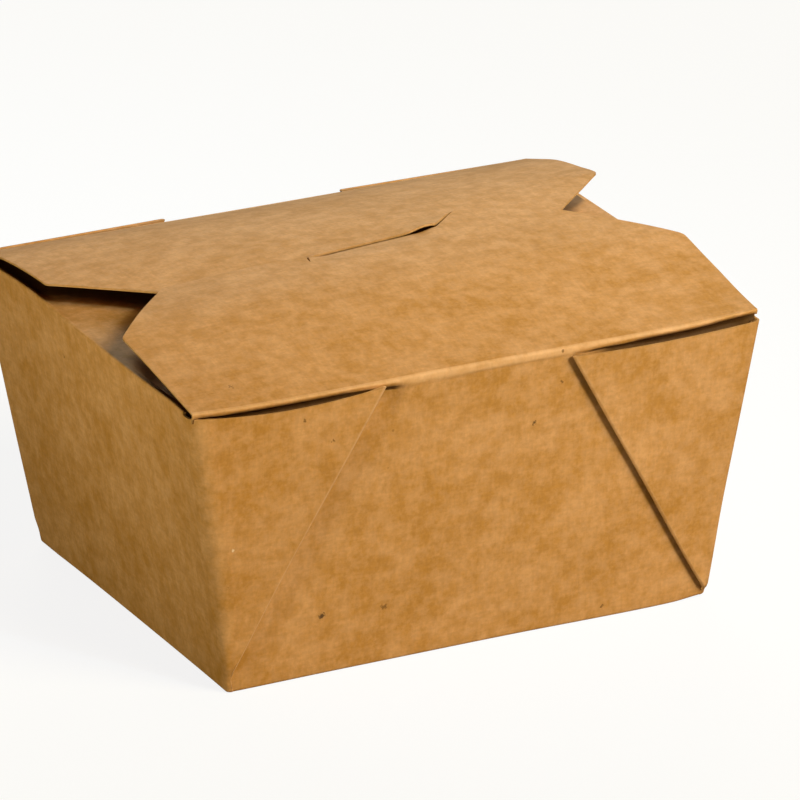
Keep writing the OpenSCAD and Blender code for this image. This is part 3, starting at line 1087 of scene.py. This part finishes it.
def floor_material():
    """White to the camera, with the box's shadow, and dim to the light that it sends back."""
    m = Shading("floor_white")
    m.put(m.shader.inputs["Roughness"], 0.9)
    seen = m.nodes.new("ShaderNodeLightPath").outputs["Is Camera Ray"]
    m.put(m.shader.inputs["Base Color"], m.mix(seen, (0.2, 0.2, 0.2), (0.95, 0.95, 0.95)))
    glow = m.nodes.new("ShaderNodeEmission")
    m.put(glow.inputs["Strength"], 1.02)
    mixer = m.nodes.new("ShaderNodeMixShader")
    m.put(mixer.inputs[0], m.math("MULTIPLY", seen, 0.85))
    m.put(mixer.inputs[1], m.shader.outputs[0])
    m.put(mixer.inputs[2], glow.outputs[0])
    m.put(m.nodes["Material Output"].inputs["Surface"], mixer.outputs[0])
    return m.material


# The studio

CAMERA_RIGHT = (0.9052, -0.4247, -0.0165)
CAMERA_UP = (0.1631, 0.3112, 0.9363)
CAMERA_BACK = (-0.3925, -0.8502, 0.3509)
CAMERA_PLACE = (-0.8280, -1.8108, 0.7845)
CAMERA_LENS = 449.9
BOX_MIDDLE = (0, 0, 0.04)
FLOOR_HALF = 12.0


def make_floor():
    mesh = bpy.data.meshes.new("floor")
    r = FLOOR_HALF
    mesh.from_pydata([(-r, -r, 0), (r, -r, 0), (r, r, 0), (-r, r, 0)], [], [(0, 1, 2, 3)])
    mesh.materials.append(floor_material())
    place_object("floor", mesh)


def make_world():
    """White to the camera, and almost dark to everything else."""
    world = bpy.data.worlds.new("studio")
    bpy.context.scene.world = world
    world.use_nodes = True
    nodes, links = world.node_tree.nodes, world.node_tree.links
    sky = nodes["Background"]
    white = nodes.new("ShaderNodeBackground")
    for node, strength in ((sky, 0.01), (white, 1.0)):
        node.inputs["Color"].default_value = (1, 1, 1, 1)
        node.inputs["Strength"].default_value = strength
    light_path = nodes.new("ShaderNodeLightPath")
    mixer = nodes.new("ShaderNodeMixShader")
    links.new(light_path.outputs["Is Camera Ray"], mixer.inputs[0])
    links.new(sky.outputs[0], mixer.inputs[1])
    links.new(white.outputs[0], mixer.inputs[2])
    links.new(mixer.outputs[0], nodes["World Output"].inputs["Surface"])


def place_light(name, light, place, target, power, colour):
    light.energy = power
    light.color = colour
    obj = place_object(name, light)
    obj.location = place
    obj.rotation_euler = (Vector(target) - Vector(place)).to_track_quat("-Z", "Y").to_euler()


def make_lamp(name, place, target, size, power, colour):
    """A round soft lamp."""
    light = bpy.data.lights.new(name, "AREA")
    light.shape = "DISK"
    light.size = size
    place_light(name, light, place, target, power, colour)


def make_spot(name, place, target, angle, power, colour):
    """A lamp with a cone of the given angle that fades from its middle."""
    light = bpy.data.lights.new(name, "SPOT")
    light.spot_size = math.radians(angle)
    light.spot_blend = 1.0
    light.shadow_soft_size = 0.12
    place_light(name, light, place, target, power, colour)


def make_lights():
    make_lamp("key", (0.62, -1.25, 1.15), BOX_MIDDLE, 1.0, 31, (1, 0.865, 0.5))
    make_spot("key_cool", (0.5, -1.3, 1.1), (0.075, -0.02, 0.12), 12, 120, (0.5, 0.71, 1))
    make_spot("right", (1.0, -1.5, 0.5), (0.075, -0.02, 0.01), 8, 40, (1, 0.85, 0.6))
    make_spot("left", (-1.98, -0.4, 0.12), (0, 0, 0.13), 11, 150, (1, 1, 0.7))
    make_lamp("rear", (0.3, 1.9, 1.1), BOX_MIDDLE, 0.9, 8.0, (1, 1, 0.82))
    make_lamp("rear_right", (0.9, 1.9, 0.8), BOX_MIDDLE, 0.9, 10.4, (1, 0.87, 0.6))


def make_camera():
    """A long lens, 25 degrees left of the front and 20.5 above, as fitted to the box's corners."""
    camera = bpy.data.cameras.new("camera")
    camera.sensor_width = 36
    camera.lens = CAMERA_LENS
    camera.clip_start, camera.clip_end = 0.05, 50
    obj = place_object("camera", camera)
    rows = zip(CAMERA_RIGHT, CAMERA_UP, CAMERA_BACK, CAMERA_PLACE)
    obj.matrix_world = Matrix([*rows, (0, 0, 0, 1)])
    bpy.context.scene.camera = obj


def main():
    bpy.context.scene.view_settings.view_transform = "Standard"
    board = kraft("kraft_board", (0.445, 0.19, 0.030), (0.622, 0.314, 0.120), 0.28, SPECKS)
    cut = kraft("kraft_cut_edge", (0.40, 0.19, 0.045), (0.55, 0.28, 0.10), 0.3)
    make_carton([board, cut])
    make_front_flap([board, cut])
    make_floor()
    make_world()
    make_lights()
    make_camera()


main()
